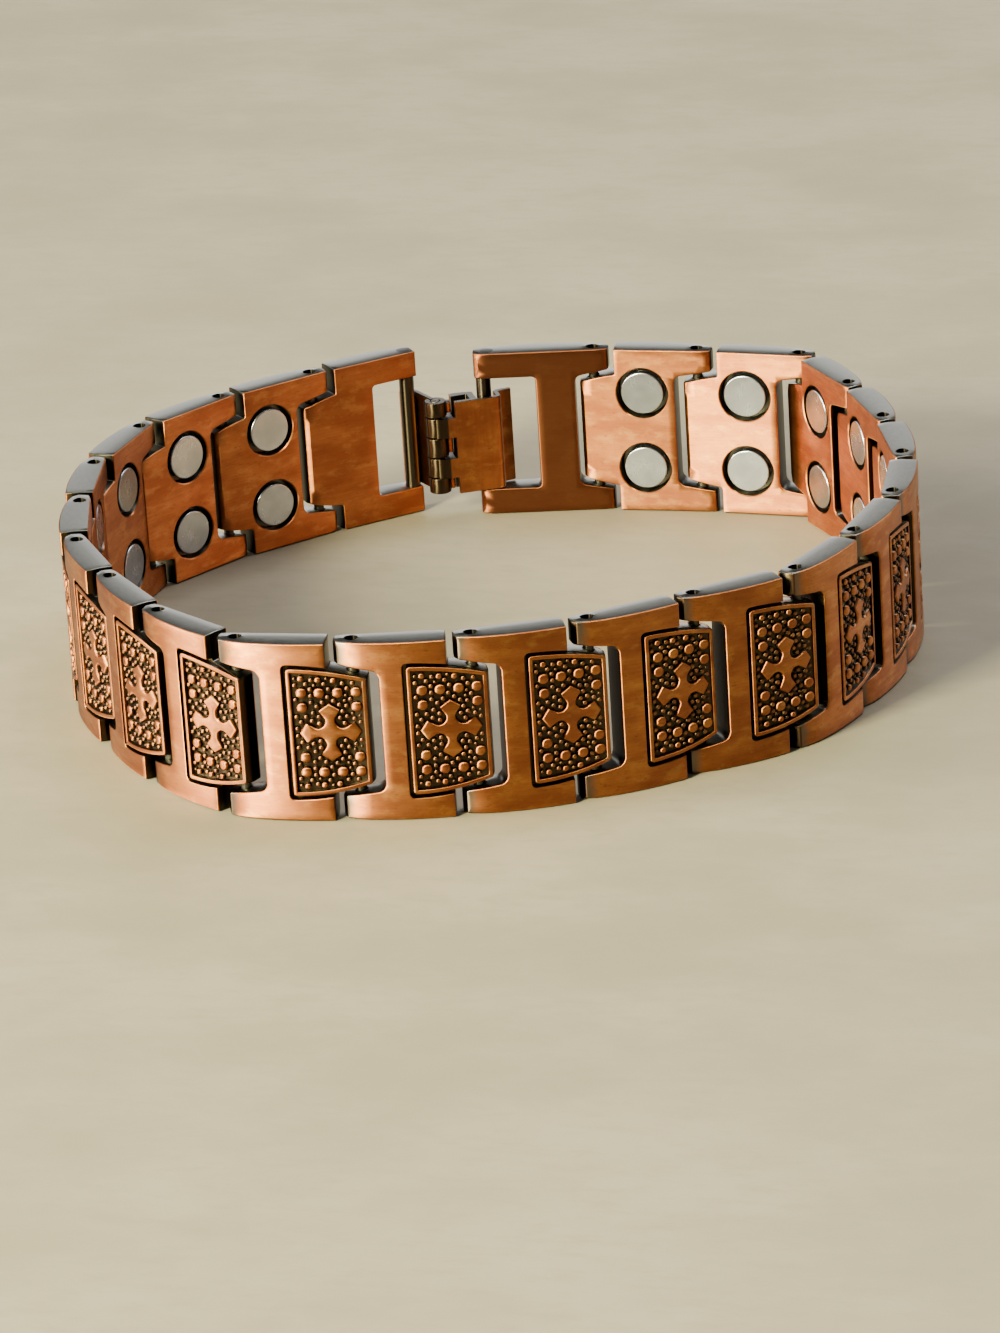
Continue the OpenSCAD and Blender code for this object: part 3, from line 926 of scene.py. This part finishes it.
def brushed_copper(name, bare, lines, painted_shade=0.0):
    """Antique copper: brushed bright where bare is 1, and dark plating elsewhere.

    bare is a function of the shade that gives three masks: bare copper, brown patina, and the pin holes,
    which are painted black as painted shade.
    lines is the brushing's lumps per millimetre. The last argument is painted shade: it darkens the brushed
    copper by that share on pieces that sit in shade.
    """
    s = Shade(name)
    fine = s.noise(lines, 2.0, 0.55)
    broad = s.noise((0.16, 0.3, 0.5), 2.0, 0.5, 7.0)
    smudge = s.noise((0.55, 0.9, 1.1), 4.0, 0.6, 19.0)
    flecks = s.noise((2.2, 4.0, 5.0), 4.0, 0.65, 31.0)
    grit = s.noise((1.2, 3.0, 1.2), 3.0, 0.6, 3.0)
    mask, deep, hollow = bare(s, smudge)

    # Brushed copper: broad patches, fine lines, dark and golden smudges, dark flecks, and painted shade
    # that darkens the whole piece
    tone = s.mix(s.step(broad, 0.35, 0.65), COPPER_DEEP, COPPER_LIGHT)
    tone = s.mix(s.range(fine, 0.0, 0.42), tone, COPPER_DARK)
    tone = s.mix(s.product(s.step(smudge, 0.52, 0.75), 0.3), tone, COPPER_DARK)
    tone = s.mix(s.product(s.step(smudge, 0.5, 0.3), 0.35), tone, COPPER_GOLD)
    tone = s.mix(s.product(s.step(flecks, 0.56, 0.72), 0.5), tone, COPPER_DARK)
    # Painted shade: the whole piece darkened towards dark copper by the given share
    tone = s.mix(painted_shade, tone, COPPER_DARK)

    # Plating: lightest on the level edges; the darker tone on what faces in or out and the darkest tone on
    # end walls are painted shade
    plating = s.mix(s.step(grit, 0.2, 0.8), PLATING, PLATING_LIGHT)
    plating = s.mix(s.step(s.unsigned(s.nv), 0.3, 0.6), plating, PLATING_TIP_SHADE)
    plating = s.mix(s.step(s.unsigned(s.nu), 0.5, 0.8), plating, PLATING_WALL_SHADE)
    dark = s.mix(deep, plating, PATINA)
    # The pin holes are painted black: painted shade
    colour = s.mix(hollow, s.mix(mask, dark, tone), HOLE_SHADE_BLACK)

    dark_rough = s.blend(deep, s.range(grit, 0.26, 0.38), 0.36)
    rough = s.blend(mask, dark_rough, s.range(fine, 0.42, 0.56))
    height = s.blend(mask, s.product(grit, 0.06), s.math("ADD", fine, s.product(flecks, 0.3)))

    # The highlight is drawn out along z on walls and along x on level faces
    s.shader.inputs["Anisotropic"].default_value = ANISOTROPY
    level = s.unsigned(s.nz)
    drawn = s.add("ShaderNodeCombineXYZ", {0: level, 2: s.one_minus(level)})
    s.put(s.shader.inputs["Tangent"], drawn.outputs[0])
    return s.finish(colour, 1.0, rough, height, 0.3)


def casting_bare(s, smudge):
    """Masks of a casting: brushed on the outer and inner faces, dark on walls and in sunk places."""
    # Depth below the outer face, from the same curves as crown()
    off = s.math("SUBTRACT", s.u, CROWN_U)
    arc = s.math("SQRT", s.math("SUBTRACT", CROWN_R ** 2, s.product(off, off)))
    over = s.math("MAXIMUM", s.math("SUBTRACT", s.u, TIP_FALL_U), 0.0)
    fall = s.product(s.product(over, over), 0.5 / TIP_FALL_R)
    face = s.math("SUBTRACT", s.math("ADD", arc, CROWN_V - CROWN_R), fall)
    depth = s.math("SUBTRACT", face, s.v)

    # Brushed: what faces out near the crown, and what faces in near the inner face
    wobble = s.range(smudge, -0.05, 0.05)
    sunk = s.step(s.math("ADD", depth, wobble), 0.1, 0.22)
    high = s.step(s.math("ADD", s.v, s.range(smudge, -0.2, 0.2)), 0.72, 1.06)
    sunk_in = s.step(s.math("SUBTRACT", s.v, INNER_V), 0.5, 0.7)
    outer = s.step(s.math("ADD", s.nv, wobble), 0.12, 0.36)
    outer = s.product(outer, s.blend(high, 0.12, 1.0))
    inside = s.step(s.math("ADD", s.product(s.nv, -1.0), wobble), 0.2, 0.42)
    mask = s.math("ADD", s.product(outer, s.one_minus(sunk)), s.product(inside, s.one_minus(sunk_in)))

    # Patina: the relief's sides and the groove's floor, not the level edges
    upward = s.step(s.unsigned(s.nz), 0.8, 0.95)
    relief = s.product(s.step(depth, 0.08, 0.2), s.step(depth, 0.65, 0.5))
    groove = s.product(s.step(depth, 0.2, 0.32), s.step(s.nv, 0.4, 0.7))
    deep = s.math("MAXIMUM", s.product(relief, s.one_minus(upward)), groove)

    # Pin holes, painted black inside as painted shade
    clear = s.product(s.off_axis((0, 0), PIN_HOLE_R), s.off_axis((PITCH, 0), PIN_HOLE_R))
    return mask, deep, s.one_minus(clear)


def end_bare(bar):
    """Masks of an end link: those of a casting, with its round bar dark."""
    def bare(s, smudge):
        mask, deep, hollow = casting_bare(s, smudge)
        off = s.off_axis(bar, BAR_R)
        deep = s.math("MAXIMUM", deep, s.math("MULTIPLY_ADD", off, -0.7, 0.7))
        return s.product(mask, off), deep, hollow
    return bare


def clasp_bare(axis, reach, shade_channel=None):
    """Masks of a clasp piece: brushed on its broad faces, dark on its edges and round its barrel.

    The barrel's dark stretch has the given reach. The last argument is the half width of the hook's inside,
    which is painted dark as painted shade.
    """
    def bare(s, smudge):
        across = s.math("ADD", s.unsigned(s.nz), s.range(smudge, -0.06, 0.06))
        off = s.off_axis(axis, reach)
        mask = s.product(s.one_minus(s.step(across, 0.3, 0.6)), off)
        # Painted shade: the hook's inside stays dark, and its lip is brushed again
        if shade_channel is not None:
            face = s.step(s.unsigned(s.v), shade_channel, shade_channel + 0.05)
            lip = s.step(s.u, HOOK_REACH + HOOK_LIP, HOOK_REACH + HOOK_LIP + 0.05)
            mask = s.product(mask, s.math("MAXIMUM", face, lip))
        return mask, s.math("MULTIPLY_ADD", off, -0.3, 1.0), 0.0
    return bare


def plated(name, dull, light, rough):
    """Smooth plating with faint scratches and a slight mottle."""
    s = Shade(name)
    mottle = s.noise((0.5, 0.5, 0.5), 3.0, 0.55, 5.0)
    fine = s.noise((5.0, 5.0, 0.6), 2.0, 0.5, 11.0)
    tone = s.mix(s.step(mottle, 0.3, 0.7), dull, light)
    spread = s.math("ADD", s.range(mottle, rough - 0.05, rough + 0.05), s.range(fine, -0.02, 0.02))
    return s.finish(tone, 1.0, spread, fine, 0.04)


def paper_floor(name):
    """Pale surface with broad streaks and faint lines along them."""
    s = Shade(name)
    streak = s.noise((0.035, 0.05, 0.05), 6.0, 0.65, 2.0)
    lines = s.noise((0.28, 0.75, 0.75), 6.0, 0.7, 9.0)
    tone = s.mix(s.step(streak, 0.3, 0.68), FLOOR_DARK, FLOOR_LIGHT)
    tone = s.mix(s.range(s.step(lines, 0.45, 0.7), 0.0, 0.6), tone, FLOOR_DARK)
    return s.finish(tone, 0.0, 0.62)


# Pieces

def coated(mesh, coat):
    """The mesh in metres, smooth between its sharp edges, with its material."""
    mesh.transform(Matrix.Scale(MM, 4))
    mesh.shade_smooth()
    mesh.set_sharp_from_angle(angle=math.radians(SMOOTH_ANGLE))
    mesh.materials.clear()
    mesh.materials.append(coat)
    return mesh


def place(name, mesh, matrix, body, slot, *nodes):
    """Put a piece in the scene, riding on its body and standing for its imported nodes."""
    made = bpy.data.objects.new(name, mesh)
    bpy.context.scene.collection.objects.link(made)
    made.matrix_world = matrix
    weigh = made.modifiers.new("normals", "WEIGHTED_NORMAL")
    weigh.keep_sharp = True
    bpy.context.view_layer.update()
    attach(made, body)
    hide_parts(*nodes)


def add_band():
    """The links with their magnets, and the pins between them."""
    cutters = [pin_cutter(0), pin_cutter(PITCH), recess_cutter(MAGNET_OFF), recess_cutter(-MAGNET_OFF)]
    link = whole_casting("link", ears_end(OPENING_U) + tongue_end(), cutters, PANEL_ROOT_U)
    link = coated(link, brushed_copper("antique_copper", casting_bare, LINK_BRUSH))
    discs = coated(magnet_pair_mesh(), plated("magnet_plating", MAGNET_DULL, MAGNET_LIGHT, 0.26))
    for k in range(1, LINKS + 1):
        matrix = frame_matrix(*PLACES[k])
        place(f"band_link_{k:02d}", link, matrix, "band", "band_copper", f"link_{k:02d}")
        place(f"magnet_pair_{k:02d}", discs, matrix, "band", "magnet_steel", f"magnets_{k:02d}")
    rods = [tube("pin", at.x, at.y, PIN_R, PIN_SINK, BAND_W - PIN_SINK, PIN_BEVEL, 28)
            for at, _ in PLACES[1:]]
    pins = coated(joined("pins", rods), SHADED_PIN_STEEL)
    place("hinge_pins", pins, Matrix.Identity(4), "band", "pin_steel", "link_pins")


def add_ends():
    """The two end links with their windows and round bars."""
    half = ears_end(HOOK_OPENING_U) + arms_end(*HOOK_WINDOW)
    end = whole_casting("end_casting", half, [pin_cutter(PITCH)], bar=HOOK_BAR)
    # Painted shade darkens most of the bar end link's copper
    end = coated(end, brushed_copper("shaded_copper", end_bare(HOOK_BAR), LINK_BRUSH, 0.85))
    place("bar_end", end, frame_matrix(*PLACES[0]), "band", "band_copper", "bar_end_link")
    half = arms_end(*LEAF_WINDOW)[::-1] + tongue_end()
    end = whole_casting("window_casting", half, [pin_cutter(0)], LEAF_PANEL_ROOT_U, WINDOW_BAR)
    # Painted shade darkens the window end link's copper a little
    end = coated(end, brushed_copper("end_copper", end_bare(WINDOW_BAR), LINK_BRUSH, 0.15))
    place("window_end", end, frame_matrix(*PLACES[WINDOW_END]), "band", "band_copper", "window_end_link")


def add_clasp():
    """The leaf, the hook and the pin of their hinge."""
    masks = clasp_bare(BARREL, BARREL_R)
    # Painted shade darkens the leaf's copper, which sits between the bar and the barrel
    leaf = coated(leaf_mesh(), brushed_copper("leaf_copper", masks, CLASP_BRUSH, 0.35))
    place("leaf", leaf, frame_matrix(*PLACES[WINDOW_END]), "leaf", "clasp_copper", "clasp_leaf")
    masks = clasp_bare((0.0, 0.0), HOOK_DARK_R, HOOK_SHADE_CHANNEL)
    hook = coated(hook_mesh(), brushed_copper("hook_copper", masks, CLASP_BRUSH))
    matrix = frame_matrix(BARREL_AT, HOOK_HEADING)
    place("hook", hook, matrix, "hook", "clasp_copper", "clasp_hook")
    pin = coated(tube("hinge_pin", 0, 0, CLASP_PIN_R, CLASP_Z, CLASP_TOP, CLASP_PIN_BEVEL, 28), SHADED_PIN_STEEL)
    place("barrel_pin", pin, matrix, "leaf", "pin_steel", "clasp_pin")


# Floor, light and camera

def add_floor():
    """The plain floor that the bracelet stands on."""
    bpy.ops.mesh.primitive_plane_add(size=FLOOR_SIZE, location=(0, 0, 0))
    floor = bpy.context.object
    floor.name = "floor"
    floor.data.materials.append(paper_floor("pale_floor"))


def add_surroundings():
    """Light from all round, with the bright and the shaded patches."""
    world = bpy.data.worlds.new("studio")
    bpy.context.scene.world = world
    world.use_nodes = True
    sky = Wires(world.node_tree)
    around = sky.add("ShaderNodeTexCoord").outputs["Generated"]

    def patch(azimuth, elevation, edge, core):
        """How far a direction lies inside a round patch, from 0 outside to 1 in its core."""
        near = sky.vector("DOT_PRODUCT", {0: around, 1: direction(azimuth, elevation)})
        return sky.step(near, math.cos(math.radians(edge)), math.cos(math.radians(core)))

    strength = AMBIENT
    for *way, glow in GLOWS:
        strength = sky.math("MULTIPLY_ADD", patch(*way), glow, strength)
    for *way, shade in SHADES:
        strength = sky.product(strength, sky.math("MULTIPLY_ADD", patch(*way), -shade, 1.0))
    background = sky.tree.nodes["Background"]
    sky.put(background.inputs["Strength"], strength)
    sky.put(background.inputs["Color"], AIR_COLOUR)


def add_lamp(name, azimuth, elevation, distance, size, power, colour):
    """A square area light aimed at the bracelet's middle."""
    data = bpy.data.lights.new(name, "AREA")
    data.size = size
    data.energy = power
    data.color = colour
    lamp = bpy.data.objects.new(name, data)
    bpy.context.scene.collection.objects.link(lamp)
    way = direction(azimuth, elevation)
    lamp.location = way * distance
    lamp.rotation_euler = (-way).to_track_quat("-Z", "Y").to_euler()


def add_camera():
    """The photograph's camera."""
    data = bpy.data.cameras.new("camera")
    data.sensor_width = SENSOR
    data.lens = CAMERA_FOCAL * SENSOR / PHOTO_H
    camera = bpy.data.objects.new("camera", data)
    bpy.context.scene.collection.objects.link(camera)
    az, el, roll = (math.radians(a) for a in (CAMERA_AZ, CAMERA_EL, CAMERA_ROLL))
    ahead = Vector((math.sin(az) * math.cos(el), math.cos(az) * math.cos(el), -math.sin(el)))
    level = Vector((math.cos(az), -math.sin(az), 0))
    upward = level.cross(ahead)
    right = math.cos(roll) * level + math.sin(roll) * upward
    upright = -math.sin(roll) * level + math.cos(roll) * upward
    turn = Matrix((right, upright, -ahead)).transposed().to_4x4()
    camera.matrix_world = Matrix.Translation(CAMERA_AT) @ turn
    bpy.context.scene.camera = camera


# Pin steel, darkened as painted shade
SHADED_PIN_STEEL = plated("pin_steel", PIN_SHADED_DULL, PIN_SHADED_LIGHT, 0.42)
add_band()
add_ends()
add_clasp()
add_floor()
add_surroundings()
for lamp in LAMPS:
    add_lamp(*lamp)
add_camera()

bpy.context.view_layer.update()
